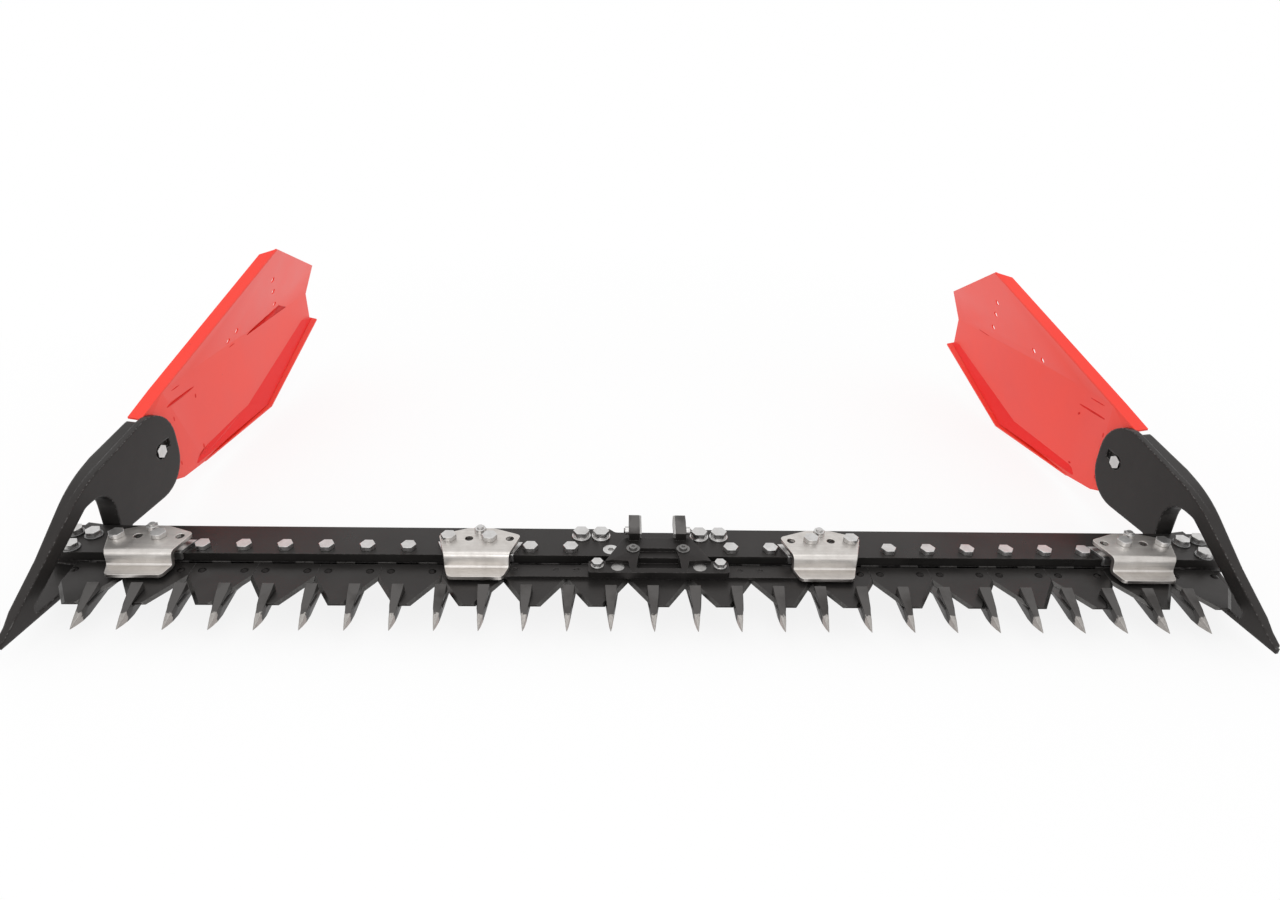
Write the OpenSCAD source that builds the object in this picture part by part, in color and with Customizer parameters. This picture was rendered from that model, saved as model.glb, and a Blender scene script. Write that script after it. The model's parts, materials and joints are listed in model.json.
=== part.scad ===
// Sickle bar mower: cutter bar with guard fingers, sliding knife, end shoes and swath boards.
// Millimetres, Z up, X along the bar, -Y towards the fingers.
// Origin: middle of the carrier bolt row, on the underside of the bar.

/* [Cutter bar] */
// Spacing of the guard fingers along the bar
finger_pitch = 50.8; // [48:0.1:54]
// Number of guard fingers, odd so that one stands in the middle
finger_count = 27; // [25:2:29]
// Width of the flat bar, front to back
bar_width = 60; // [58:1:66]
// Thickness of the flat bar
bar_thickness = 12; // [10:0.5:14]
// Depth of the notch in the rear edge, for the drive
notch_depth = 7.5; // [3:0.5:9]
// Distance from the carrier bolt row forward to the finger bolt row
finger_row = 28; // [27:0.5:29]
// Distance between the carrier bolts of the inner pair
carrier_inner = 127; // [122:1:132]
// Distance between the carrier bolts of the outer pair
carrier_outer = 177.8; // [174:1:180]

/* [Guard fingers] */
// Distance from the finger bolt row forward to the tips
finger_reach = 130; // [124:1:140]
// Width of the finger body
finger_width = 29; // [26:0.5:31]
// Width of the upper lip at its rear end
lip_width = 15; // [12:0.5:17]
// Length of the upper lip from its rear end to the tip
lip_length = 67; // [62:1:70]

/* [Knife] */
// Thickness of the knife sections
section_thickness = 3; // [2:0.25:3.5]
// Length of a knife section, front to back
section_length = 79; // [74:1:81]
// Thickness of the knife back under the sections
back_thickness = 5; // [4:0.5:6]
// Thickness of the stiffener strip on the middle sections
strip_thickness = 4; // [3:0.25:5]
// Length of the stiffener strip
strip_length = 420; // [380:5:440]
// Place of the knife along the bar at rest, from its middle place
knife_shift = 8.5; // [-20:0.5:20]
// Height of the fork prongs above the bar
prong_height = 29; // [24:1:34]
// Clear width of the drive fork, between its wear plates
fork_width = 41; // [36:1:44]

/* [Hold-down clips] */
// Thickness of the clip plates
clip_thickness = 5; // [4:0.5:6]
// Height of the spacers that lift the clips
spacer_height = 6.5; // [5:0.5:8]
// Width of a clip at its front edge
clip_front = 67; // [60:1:74]
// Greatest width of a clip
clip_width = 103; // [98:1:106]

/* [End shoes] */
// Toe-in of the shoes, in degrees
toe_in = 11.3; // [9:0.1:13]
// Thickness of the shoe web
web_thickness = 9; // [8.5:0.5:11]
// Depth of the sole below the bar
sole_depth = 48; // [46:1:56]
// Width of the shoe rim at its widest place
rim_width = 27; // [22:1:32]

/* [Swath boards] */
// Thickness of the board sheet
board_thickness = 2.5; // [2:0.25:3.5]
// Inward lean of the upper facet, sideways per height
board_lean = 0.43; // [0.35:0.01:0.48]
// Width of the lip along the top edge
lip_top = 17; // [12:1:22]
// Lift of the left board's rear end at rest, in degrees
left_lift = 1.5; // [-2:0.25:2]
// Lift of the right board's rear end at rest, in degrees
right_lift = -1.5; // [-2:0.25:2]

/* [Hidden] */
$fn = 48;
// Clearance between a shank and the hole around it
hole_gap = 0.1;
// Running clearance of the board on its pivot bolt
pivot_gap = 0.08;
// Gap between bodies that slide on each other
slide_gap = 0.4;
half_count = (finger_count - 1) / 2;
half_span = half_count * finger_pitch;
row_y = -finger_row;
bar_top = bar_thickness;
bar_rear = row_y + 46;
bar_front = bar_rear - bar_width;
shoe_x = half_span + 29.6;
bar_end = shoe_x + 52;
middle_clip = 4.25 * finger_pitch;
outer_clip = (half_count - 0.75) * finger_pitch;
section_pitch = 1.5 * finger_pitch;
section_half = ceil(half_span / section_pitch);
knife_half = (section_half + 0.5) * section_pitch;
knife_end = knife_half - 8;
knife_top = -slide_gap;
section_base = knife_top - section_thickness;
back_base = section_base - back_thickness;
knife_rear = bar_front - 3.5;
rivet_y = knife_rear - 15;
strip_y = knife_rear - 16.5;
strip_top = knife_top + strip_thickness;
back_width = 25;
rivet_half = finger_pitch / 2;
section_tip = knife_rear - section_length;
section_notch = knife_rear - 32.5;
tip_y = row_y - finger_reach;
lip_rear = tip_y + lip_length;
slot_front = section_tip - 3;
ledge = section_base - slide_gap;
pocket = back_base - 0.6;
tang_base = -11;
tang_rear = row_y + 11;
plate_top = bar_top + 4;
spacer_top = plate_top + spacer_height;
clip_top = spacer_top + clip_thickness;
clip_low = max(strip_top + slide_gap, 4);
head_top = strip_top + 8;
bridge_low = bar_top + 1;
bridge_top = bar_top + 8;
prong_top = bar_top + prong_height;
prong_in = fork_width / 2 + 2.5;
prong_out = prong_in + 13.5;
runner_low = -sole_depth;
pivot_u = 152;
pivot_z = 63.8;
bolt_r = 5;
carrier_r = 6;
finger_head_r = 9.82;
wing_gap = 0.2;
washer_r = 12;
small_r = 4;
carrier_x = [-carrier_outer / 2, -carrier_inner / 2, carrier_inner / 2, carrier_outer / 2];
clip_x = [-outer_clip, -middle_clip, middle_clip, outer_clip];
head_x = 1.5 * finger_pitch;
sections = [for (k = [-section_half : section_half]) k * section_pitch];
rivets = [for (x = sections) each [x - rivet_half, x + rivet_half]];
big_rivets = [-finger_pitch, finger_pitch];
shoe_holes = [[shoe_x + 12.6, -5], [shoe_x + 37.8, 0], [shoe_x + 27.5, -32.5]];
all_fingers = [for (i = [-half_count : half_count]) i];
clip_near = [for (i = all_fingers) if (under_clip(i)) i];
flush = [-1, 0, 1];
plain = [for (i = all_fingers) if (!under_clip(i) && abs(i) > 1) i];

black = [0.13, 0.13, 0.14];
zinc = [0.72, 0.73, 0.74];
galvanised = [0.74, 0.73, 0.68];
red = [0.85, 0.10, 0.07];
steel = [0.22, 0.22, 0.23];

function under_clip(i) = abs(i) == 4 || abs(i) == 5 || abs(i) >= half_count - 1;
function unit(v) = v / norm(v);
function turn(a) = a > 180 ? a - 360 : a < -180 ? a + 360 : a;
function flat(p) = [p[0], p[1]];

// Corner b of an outline, rounded with radius r between its neighbours a and c
function corner(a, b, c, r, n) =
    let (u = unit(a - b), v = unit(c - b), h = acos(u * v) / 2)
    let (m = b + unit(u + v) * r / sin(h), s = b + u * r / tan(h) - m, e = b + v * r / tan(h) - m)
    let (a0 = atan2(s[1], s[0]), da = turn(atan2(e[1], e[0]) - a0))
    r == 0 ? [b] : [for (k = [0 : n]) m + r * [cos(a0 + da * k / n), sin(a0 + da * k / n)]];

// Outline from corners [x, y, radius]
function rounded(p, n = 6) =
    [for (i = [0 : len(p) - 1])
        each corner(flat(p[(i + len(p) - 1) % len(p)]), flat(p[i]), flat(p[(i + 1) % len(p)]), p[i][2], n)];

// Outline given as [y, z], run along X from x0 to x1
module along_x(x0, x1, points) {
    translate([x0, 0, 0]) rotate([90, 0, 90]) linear_extrude(x1 - x0) polygon(points);
}

// Outline given as [x, y], run along Z from z0 to z1
module along_z(z0, z1, points) {
    translate([0, 0, z0]) linear_extrude(z1 - z0) polygon(points);
}

// Outline given as [x, z], run along Y from y0 to y1
module along_y(y0, y1, points) {
    translate([0, y1, 0]) rotate([90, 0, 0]) linear_extrude(y1 - y0) polygon(points);
}

module hole(x, y, z0, z1, r) {
    translate([x, y, z0]) cylinder(h = z1 - z0, r = r);
}

module hex(af, h) {
    cylinder(h = h, r = af / sqrt(3), $fn = 6);
}

// Hex bolt whose head stands on z = 0, shank downwards
module bolt(af, head, r, length) {
    hex(af, head);
    translate([0, 0, -length]) cylinder(h = length + 1, r = r);
}

// Hex nut that hangs below z = 0
module nut(af, h, r) {
    difference() {
        translate([0, 0, -h]) hex(af, h);
        translate([0, 0, -h - 1]) cylinder(h = h + 2, r = r + hole_gap);
    }
}

module washer(r, h, bore) {
    difference() {
        cylinder(h = h, r = r);
        translate([0, 0, -1]) cylinder(h = h + 2, r = bore + hole_gap);
    }
}

module countersunk(r, head, length) {
    translate([0, 0, -length]) cylinder(h = length - 1, r = r);
    translate([0, 0, r - head]) cylinder(h = head - r, r1 = r, r2 = head);
    translate([0, 0, -head]) cylinder(h = r, r = r);
}

module cutter_bar() {
    color(black) difference() {
        translate([-bar_end, bar_front, 0]) cube([2 * bar_end, bar_width, bar_thickness]);
        along_z(-1, bar_top + 1, rounded([[-54, bar_rear + 2, 0], [-45, bar_rear - notch_depth, 8],
            [45, bar_rear - notch_depth, 8], [54, bar_rear + 2, 0]]));
        for (i = plain) hole(i * finger_pitch, row_y, -1, bar_top + 1, bolt_r + hole_gap);
        for (i = clip_near) hole(i * finger_pitch, row_y, -1, bar_top + 1, bolt_r + hole_gap);
        for (i = flush) hole(i * finger_pitch, row_y, -1, bar_top + 1, bolt_r + hole_gap);
        for (i = flush) translate([i * finger_pitch, row_y, bar_top - 5 - hole_gap])
            cylinder(h = 5 + 2 * hole_gap, r1 = bolt_r + hole_gap, r2 = bolt_r + 5 + 3 * hole_gap);
        for (x = carrier_x) hole(x, 0, -1, bar_top + 1, carrier_r + hole_gap);
        for (s = [-1, 1]) for (p = shoe_holes) hole(s * p[0], p[1], -1, bar_top + 1, bolt_r + hole_gap);
    }
}

// Side outline of a finger below the knife, with the slot for the sections
finger_side = rounded([[tang_rear, 0, 0], [bar_front - 1, 0, 0], [bar_front - 1, pocket, 0],
    [strip_y - 14.5, pocket, 0], [strip_y - 14.5, ledge, 0], [slot_front, ledge, 0], [slot_front, 0.4, 0],
    [lip_rear, 0.4, 0], [lip_rear, 5, 1.5], [lip_rear - 30, 5, 25], [tip_y + 18, -2, 25],
    [tip_y + 1.5, -11, 0], [tip_y, -12.2, 0],
    [tip_y + 2, -13.6, 0], [tip_y + 40, -16.5, 60], [bar_front - 12, -22.5, 24], [row_y - 10, tang_base, 0],
    [tang_rear, tang_base, 0]], 5);

// Plan of a finger body and of its upper lip
function body_plan(w) = [[-w, tang_rear], [-w, tip_y + 84], [-w * 0.66, lip_rear], [-w * 0.5, tip_y + 38],
    [-w * 0.29, tip_y + 16], [-0.9, tip_y], [0.9, tip_y], [w * 0.29, tip_y + 16], [w * 0.5, tip_y + 38],
    [w * 0.66, lip_rear], [w, tip_y + 84], [w, tang_rear]];
function lip_plan(w) = [[-w, lip_rear + 2], [-w * 0.8, tip_y + 38], [-w * 0.5, tip_y + 15], [-0.9, tip_y],
    [0.9, tip_y], [w * 0.5, tip_y + 15], [w * 0.8, tip_y + 38], [w, lip_rear + 2]];

// Front view of a finger: straight sides above, drawn in towards the belly
function keel(w) = [[-w, 9], [-w, tang_base], [-w * 0.35, -25], [w * 0.35, -25], [w, tang_base], [w, 9]];

module one_finger() {
    difference() {
        union() {
            intersection() {
                along_x(-finger_width, finger_width, finger_side);
                along_y(tip_y - 1, row_y + 16, keel(finger_width / 2));
                union() {
                    along_z(-40, ledge, body_plan(finger_width / 2));
                    along_z(-40, 20, lip_plan(lip_width / 2));
                    translate([-finger_width / 2, bar_front - 1, -20]) cube([finger_width, 90, 20]);
                }
            }
            translate([-finger_pitch / 2 + wing_gap, bar_front - 1, pocket])
                cube([finger_pitch - 2 * wing_gap, 9, -pocket]);
        }
        hole(0, row_y, tang_base - 20, 1, bolt_r + hole_gap);
    }
}

module guard_fingers() {
    color(black) for (i = all_fingers) translate([i * finger_pitch, 0, 0]) one_finger();
}

module finger_bolts() {
    color(zinc) for (i = plain)
        translate([i * finger_pitch, row_y, bar_top]) bolt(17, 6.4, bolt_r, bar_top - tang_base + 10);
}

module clip_bolts() {
    color(zinc) for (i = clip_near)
        translate([i * finger_pitch, row_y, clip_top]) bolt(17, 6.4, bolt_r, clip_top - tang_base + 10);
}

module finger_screws() {
    color(zinc) for (i = flush)
        translate([i * finger_pitch, row_y, bar_top]) difference() {
            countersunk(bolt_r, bolt_r + 5, bar_top - tang_base + 10);
            translate([0, 0, -4]) hex(7, 5);
        }
}

module finger_nuts() {
    color(zinc) for (i = all_fingers)
        translate([i * finger_pitch, row_y, tang_base]) nut(17, 8, bolt_r);
}

module carrier_bolts() {
    color(zinc) for (x = carrier_x)
        union() {
            translate([x, 0, bar_top + 2.5]) bolt(18, 7.5, carrier_r + 0.05, bar_top + 2.5);
            translate([x, 0, -22]) cylinder(h = 23, r = carrier_r);
        }
}

module carrier_washers() {
    color(zinc) for (x = carrier_x) translate([x, 0, bar_top]) washer(washer_r, 2.5, carrier_r);
}

// Plan of a clip and, grown sideways, of the wear plate below it
function clip_plan(grow, rear, front) = [[-clip_width / 2 - grow, row_y + 8, 6], [-16, rear, 14], [16, rear, 14],
    [clip_width / 2 + grow, row_y + 8, 6], [clip_front / 2 + grow, front, 7], [-clip_front / 2 - grow, front, 7]];

clip_step = row_y - 28;
clip_rear = row_y + 23;
clip_front_y = row_y - 55;
clip_side = rounded([[clip_rear + 1, spacer_top, 0], [clip_step, spacer_top, 3], [clip_step - 3, clip_low, 7],
    [clip_front_y - 1, clip_low, 0], [clip_front_y - 1, clip_low + clip_thickness, 0],
    [clip_step - 7, clip_low + clip_thickness, 3], [clip_step - 5, clip_top, 7], [clip_rear + 1, clip_top, 0]], 5);
plate_side = rounded([[row_y + 10, bar_top, 0], [bar_front - 0.2, bar_top, 0], [bar_front - 0.2, 4, 0],
    [bar_front - 3, 4, 0], [bar_front - 3, plate_top, 3], [row_y + 10, plate_top, 0]], 5);
clip_bolt_x = [-0.75 * finger_pitch, 0.25 * finger_pitch];
clip_hole_x = [-0.75, -0.25, 0.25, 0.75];
plate_half = 1.25 * finger_pitch - finger_head_r - 0.4;
adjuster_y = row_y + 14;

module one_clip() {
    difference() {
        intersection() {
            along_x(-clip_width, clip_width, clip_side);
            along_z(0, clip_top + 1, rounded(clip_plan(0, clip_rear, clip_front_y)));
        }
        for (q = clip_hole_x) hole(q * finger_pitch, row_y, spacer_top - 1, clip_top + 1, bolt_r + hole_gap);
        hole(0, adjuster_y, spacer_top - 1, clip_top + 1, small_r + hole_gap);
    }
}

module one_plate() {
    difference() {
        intersection() {
            along_x(-clip_width, clip_width, plate_side);
            along_z(0, plate_top + 1, [[-plate_half, row_y + 9], [plate_half, row_y + 9],
                [clip_front / 2 + 9, bar_front - 4], [-clip_front / 2 - 9, bar_front - 4]]);
        }
        for (x = clip_bolt_x) hole(x, row_y, bar_top - 1, plate_top + 1, bolt_r + hole_gap);
    }
}

// Places a clip part; the two right-hand clips are mirrored
module at_clip(n) {
    translate([clip_x[n], 0, 0]) mirror([n > 1 ? 1 : 0, 0, 0]) children();
}

module clip_1() { color(galvanised) at_clip(0) one_clip(); }
module clip_2() { color(galvanised) at_clip(1) one_clip(); }
module clip_3() { color(galvanised) at_clip(2) one_clip(); }
module clip_4() { color(galvanised) at_clip(3) one_clip(); }
module wear_plate_1() { color(zinc) at_clip(0) one_plate(); }
module wear_plate_2() { color(zinc) at_clip(1) one_plate(); }
module wear_plate_3() { color(zinc) at_clip(2) one_plate(); }
module wear_plate_4() { color(zinc) at_clip(3) one_plate(); }

module clip_spacers() {
    color(zinc) for (n = [0 : 3]) at_clip(n) for (x = clip_bolt_x)
        translate([x, row_y, plate_top]) washer(8.5, spacer_height, bolt_r);
}

module clip_adjusters() {
    color(zinc) for (n = [0 : 3]) translate([clip_x[n], adjuster_y, bar_top])
        cylinder(h = clip_top - bar_top + 9, r = small_r);
}

module clip_locknuts() {
    color(zinc) for (n = [0 : 3]) translate([clip_x[n], adjuster_y, clip_top + 6.5]) nut(13, 6.5, small_r);
}

module knife_back() {
    color(steel) translate([knife_shift, 0, 0]) difference() {
        translate([-knife_end, knife_rear - back_width, back_base]) cube([2 * knife_end, back_width, back_thickness]);
        for (x = rivets) hole(x, rivet_y, back_base - 1, section_base + 1, 3 + hole_gap);
        for (s = [-1, 1]) hole(s * head_x, strip_y, back_base - 1, section_base + 1, small_r + hole_gap);
    }
}

module one_section() {
    w = section_pitch / 2 - 0.1;
    along_z(section_base, knife_top, [[-w, knife_rear], [-w, section_notch], [-10, section_tip],
        [10, section_tip], [w, section_notch], [w, knife_rear]]);
}

module knife_sections() {
    color(steel) translate([knife_shift, 0, 0]) difference() {
        for (x = sections) intersection() {
            translate([x, 0, 0]) one_section();
            translate([-knife_end, section_tip - 1, section_base - 1]) cube([2 * knife_end, section_length + 2, 6]);
        }
        for (x = rivets) hole(x, rivet_y, section_base - 1, 1, 3 + hole_gap);
        for (s = [-1, 1]) hole(s * head_x, strip_y, section_base - 1, 1, small_r + hole_gap);
    }
}

function on_strip(x) = abs(x) < strip_length / 2 + 6;
function in_strip(x) = abs(x) < strip_length / 2 - 5;

module section_rivets() {
    color(steel) translate([knife_shift, rivet_y, 0]) for (x = rivets) {
        translate([x, 0, back_base]) cylinder(h = -back_base + knife_top, r = 3);
        if (!on_strip(x)) translate([x, 0, knife_top]) intersection() {
            cylinder(h = 2.2, r = 4.8);
            translate([0, 0, -5]) sphere(r = 7);
        }
    }
}

module knife_strip() {
    color(steel) translate([knife_shift, 0, 0]) difference() {
        translate([-strip_length / 2, strip_y - 12, knife_top]) cube([strip_length, 24, strip_thickness]);
        for (x = rivets) if (in_strip(x)) hole(x, rivet_y, knife_top + strip_thickness - 1, strip_top + 1, 4);
        for (s = [-1, 1]) hole(s * head_x, strip_y, knife_top - 1, strip_top + 1, small_r + hole_gap);
    }
}

bridge_front = strip_y - 14;
bridge_rear = -washer_r - 1;
web_front = bar_front - 13.5;
prong_front = bridge_rear - 6;
prong_rear = bridge_rear + 25.5;
prong_low = bar_top + 11.5;
prong_slope = 8.5;
foot_y = row_y - 10;
head_rivet_y = strip_y - 2.5;
bridge_side = [[bridge_front, strip_top], [bar_front - 5, strip_top], [bar_front - 5, bridge_low],
    [bridge_rear, bridge_low], [bridge_rear, bridge_top], [foot_y - 9.5, bridge_top],
    [bridge_front + 9, head_top + 1], [bridge_front, head_top]];
bridge_plan = [[-34, bridge_front], [34, bridge_front], [38, web_front - 2], [66, web_front],
    [prong_out + 7, bridge_rear], [-prong_out - 7, bridge_rear], [-66, web_front], [-38, web_front - 2]];
bridge_view = [[-66, 0], [66, 0], [66, head_top + 3], [41, bridge_top], [-41, bridge_top], [-66, head_top + 3]];
prong_side = [[prong_front, bridge_low + 1], [prong_front, prong_top - prong_slope - 2],
    [prong_front + 2, prong_top - prong_slope], [prong_rear - 5, prong_top], [prong_rear, prong_top - 3],
    [prong_rear, prong_low + 2], [prong_rear - 2, prong_low],
    [bridge_rear, prong_low], [bridge_rear, bridge_low + 1]];
plate_outline = [[prong_front + 0.5, prong_low + 0.1], [prong_front + 0.5, prong_top - prong_slope - 2.5],
    [prong_front + 2.2, prong_top - prong_slope - 0.5], [prong_rear - 5, prong_top - 0.5],
    [prong_rear - 0.5, prong_top - 3.2], [prong_rear - 0.5, prong_low + 0.1]];
cross_y = prong_front + 9;
cross_z = prong_low + 5.5;

module prong_shape() {
    intersection() {
        along_x(prong_in, prong_out, prong_side);
        along_y(prong_front - 1, prong_rear + 1, [[prong_in, 0], [prong_out, 0], [prong_out, prong_top - 2.5],
            [prong_out - 2, prong_top], [prong_in, prong_top]]);
    }
}

module drive_head() {
    color(black) translate([knife_shift, 0, 0]) difference() {
        union() {
            along_z(strip_top, head_top, rounded([[-head_x - 11, bridge_front, 4], [head_x + 11, bridge_front, 4],
                [head_x + 11, strip_y + 10, 4], [-head_x - 11, strip_y + 10, 4]]));
            intersection() {
                along_x(-70, 70, bridge_side);
                along_z(0, bridge_top, bridge_plan);
                along_y(bridge_front, bridge_rear, bridge_view);
            }
            prong_shape();
            mirror([1, 0, 0]) prong_shape();
        }
        along_z(bridge_low + 2, bridge_top + 1, [[-28, bridge_front + 8], [28, bridge_front + 8],
            [22, foot_y + 2], [-22, foot_y + 2]]);
        along_z(strip_top + 3, bridge_top, [[-28, bridge_front + 8], [28, bridge_front + 8],
            [25.5, bar_front - 8], [-25.5, bar_front - 8]]);
        for (s = [-1, 1]) {
            hole(s * head_x, strip_y, strip_top - 1, head_top + 1, small_r + hole_gap);
            hole(s * finger_pitch, head_rivet_y, strip_top - 1, head_top + 1, 8 + hole_gap);
            hole(s * 31.5, foot_y, bridge_low - 1, bridge_top + 1, 3 + hole_gap);
            translate([s * prong_in, cross_y, cross_z]) rotate([0, s * 90, 0])
                translate([0, 0, -1]) cylinder(h = 20, r = 3 + hole_gap);
        }
    }
}

module head_rivets() {
    color(zinc) for (x = big_rivets) translate([knife_shift + x, head_rivet_y, strip_top]) {
        cylinder(h = head_top - strip_top, r = 8);
        translate([0, 0, head_top - strip_top - 0.01]) intersection() {
            cylinder(h = 1.5, r = 8);
            translate([0, 0, -22]) sphere(r = 23.4);
        }
    }
}

module head_bolts() {
    color(zinc) for (s = [-1, 1])
        translate([knife_shift + s * head_x, strip_y, head_top + 2]) bolt(13, 5.3, small_r, head_top + 2 - back_base);
}

module head_washers() {
    color(zinc) for (s = [-1, 1]) translate([knife_shift + s * head_x, strip_y, head_top]) washer(8, 2, small_r);
}

module foot_screws() {
    color(zinc) for (s = [-1, 1]) translate([knife_shift + s * 31.5, foot_y, bridge_top + 1.6]) difference() {
        union() {
            translate([0, 0, bridge_low - bridge_top - 1.2]) cylinder(h = bridge_top - bridge_low + 2, r = 3);
            cylinder(h = 3, r = 5.25);
        }
        translate([0, 0, 1]) hex(4, 3);
    }
}

module foot_washers() {
    color(zinc) for (s = [-1, 1]) translate([knife_shift + s * 31.5, foot_y, bridge_top]) washer(8.5, 1.6, 3);
}

// Wear plate on the inner face of the right-hand prong
module fork_plate() {
    difference() {
        along_x(prong_in - 2.5, prong_in, plate_outline);
        translate([prong_in - 3, cross_y, cross_z]) rotate([0, 90, 0]) cylinder(h = 4, r = 3 + hole_gap);
        translate([prong_in - 2.5, cross_y, cross_z]) rotate([0, 90, 0])
            translate([0, 0, -0.05]) cylinder(h = 2.05, r1 = 4.6 + 2 * hole_gap, r2 = 3 + hole_gap);
    }
}

module fork_plate_left() { color(zinc) translate([knife_shift, 0, 0]) mirror([1, 0, 0]) fork_plate(); }
module fork_plate_right() { color(zinc) translate([knife_shift, 0, 0]) fork_plate(); }

module fork_bolts() {
    color(zinc) translate([knife_shift, 0, 0]) for (s = [0, 1]) mirror([s, 0, 0])
        translate([prong_in - 2.5, cross_y, cross_z]) rotate([0, 90, 0]) {
            cylinder(h = 2, r1 = 4.6, r2 = 3);
            translate([0, 0, 1]) cylinder(h = 21.5, r = 3);
        }
}

module fork_nuts() {
    color(zinc) translate([knife_shift, 0, 0]) for (s = [0, 1]) mirror([s, 0, 0])
        translate([prong_out, cross_y, cross_z]) rotate([0, -90, 0]) nut(10, 5, 3);
}

// Side outlines of a shoe in its own plane: u rearwards from the finger bolt row, z up; the web
// stands a little higher at the rear than the rim
function outline_at(top) = rounded([[-165, -13, 3], [8, 92.5, 180], [186, top, 48], [186, 0, 50], [67, 0, 4],
    [58, -16, 4], [-140, -16, 6]], 8);
shoe_outline = outline_at(126);
web_outline = outline_at(131);
arch_rear = (bar_rear - row_y) / cos(toe_in) + 0.7;
arch_outline = rounded([[arch_rear, 0, 0], [arch_rear, 70, 29], [2, 66, 20], [-108, 0, 3], [-108, pocket - 0.6, 3],
    [-16, pocket - 0.6, 2], [-16, 0, 0]], 8);
rim_end = 134;

module shoe_shape() {
    plate = web_thickness;
    difference() {
        union() {
            along_x(0, plate, web_outline);
            intersection() {
                along_x(0, rim_width + 3, shoe_outline);
                along_z(-10, 140, [[0, -170], [6, -160], [12, -130], [rim_width * 0.48, -76], [rim_width, 58],
                    [rim_width * 0.95, rim_end], [0, rim_end]]);
            }
            intersection() {
                along_x(0, 24, rounded([[arch_rear + 7, 0, 0], [arch_rear + 7, 77, 33], [-4, 74, 0], [-4, 0, 0]], 8));
                along_x(0, 24, shoe_outline);
            }
            along_z(-16, pocket - 0.6, [[0, -164], [4, -164], [14, -125], [22, -104], [36, -60],
                [52, -16], [52, 20], [0, 20]]);
            translate([0, -16, -14]) cube([58, 76, 14]);
            difference() {
                along_x(28, 52, rounded([[-60, -12, 0], [-30, runner_low, 40], [38, runner_low, 40], [66, -12, 0]]));
                along_x(27, 53, rounded([[-46, -12, 0], [-24, runner_low + 8, 34], [34, runner_low + 8, 34],
                    [54, -12, 0]]));
            }
        }
        translate([0, 3, -7.2]) along_x(plate, 90, shoe_hollow());
        along_x(-1, 90, arch_outline);
    }
}

// Space under the rim, outside the web
function shoe_hollow() = rounded([[-158, -3, 3], [8, 92.5 + 3, 180], [190, 126, 40], [190, 10, 4],
    [arch_rear + 8, 10, 4], [arch_rear + 8, 82, 36], [6, 82, 20], [-140, -3, 3]], 8);

module shoe_right_shape() {
    difference() {
        translate([shoe_x, row_y, 0]) rotate([0, 0, toe_in]) difference() {
            shoe_shape();
            translate([-1, pivot_u, pivot_z]) rotate([0, 90, 0]) cylinder(h = 40, r = bolt_r + hole_gap);
            translate([-1, pivot_u, pivot_z]) rotate([0, 90, 0]) cylinder(h = 6, r = 11);
            translate([-1, pivot_u, pivot_z - 1]) cube([6, 19, 12]);
        }
        for (p = shoe_holes) hole(p[0], p[1], -30, 1, bolt_r + hole_gap);
        for (p = shoe_holes) hole(p[0], p[1], -30, -14, 13);
    }
}

module shoe_right() { color(black) shoe_right_shape(); }
module shoe_left() { color(black) mirror([1, 0, 0]) shoe_right_shape(); }

module shoe_bolts() {
    color(zinc) for (s = [-1, 1]) for (p = shoe_holes)
        translate([s * p[0], p[1], bar_top + 2]) bolt(17, 6.4, bolt_r, bar_top + 2 + 14 + 9);
}

module shoe_washers() {
    color(zinc) for (s = [-1, 1]) for (p = shoe_holes) translate([s * p[0], p[1], bar_top]) washer(11, 2, bolt_r);
}

module shoe_nuts() {
    color(zinc) for (s = [-1, 1]) for (p = shoe_holes) translate([s * p[0], p[1], -14]) nut(17, 8, bolt_r);
}

// Sheet of the right-hand board: corners [y, z], with the sideways place from its bend lines
toe = tan(toe_in);
tab_x = shoe_x + toe * row_y + (web_thickness + 0.3) / cos(toe_in);
bend_1 = 163;
bend_2 = 239;
crease_0 = 133;
function crease(y) = crease_0 - 0.092 * (y - bend_1);
function main_x(y) = y < bend_1 ? tab_x - toe * y
    : y < bend_2 ? tab_x - toe * bend_1 - 0.06 * (y - bend_1)
    : tab_x - toe * bend_1 - 0.06 * (bend_2 - bend_1) - 0.107 * (y - bend_2);
function side_lean(y, d) = y < bend_2 - 1 ? 0 : d > 0 ? board_lean * d : 0.05 * d;
function sheet(p) = [main_x(p[0]) - side_lean(p[0], p[1] - crease(p[0])), p[0], p[1]];
corners = [[113, 117.5], [bend_1, crease_0], [449, 240], [643, 145.5], [652, crease(652)], [657.6, 37.5],
    [440, -32], [bend_2, -23], [bend_1, -4], [140, 5], [104, 32], [94, 60], [98, 86], [bend_2, crease(bend_2)]];
skin = [for (p = corners) sheet(p)];
facets = [[12, 11, 10, 9, 8, 1, 0], [7, 13, 1], [8, 7, 1], [7, 6, 5, 4, 13], [13, 2, 1], [13, 4, 3, 2]];
function flipped(f) = [for (i = [len(f) - 1 : -1 : 0]) f[i]];

// Closed sheet between a skin and the same skin moved by v
module thick_sheet(points, faces, rim, v) {
    n = len(points);
    m = len(rim);
    polyhedron(points = concat(points, [for (p = points) p + v]),
        faces = concat(faces, [for (f = faces) [for (i = flipped(f)) i + n]],
            [for (k = [0 : m - 1]) [rim[(k + 1) % m], rim[k], rim[k] + n, rim[(k + 1) % m] + n]]));
}

// Flat lip along the edge from a to b, reaching out by e at b and by a share k of e at a; its
// outer edge stops short of b by a share t of its length
module lip(a, b, e, k, t, v) {
    thick_sheet([a, b, b + e + t * (a - b), a + k * e], [[0, 1, 2, 3]], [0, 1, 2, 3], v);
}

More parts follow.
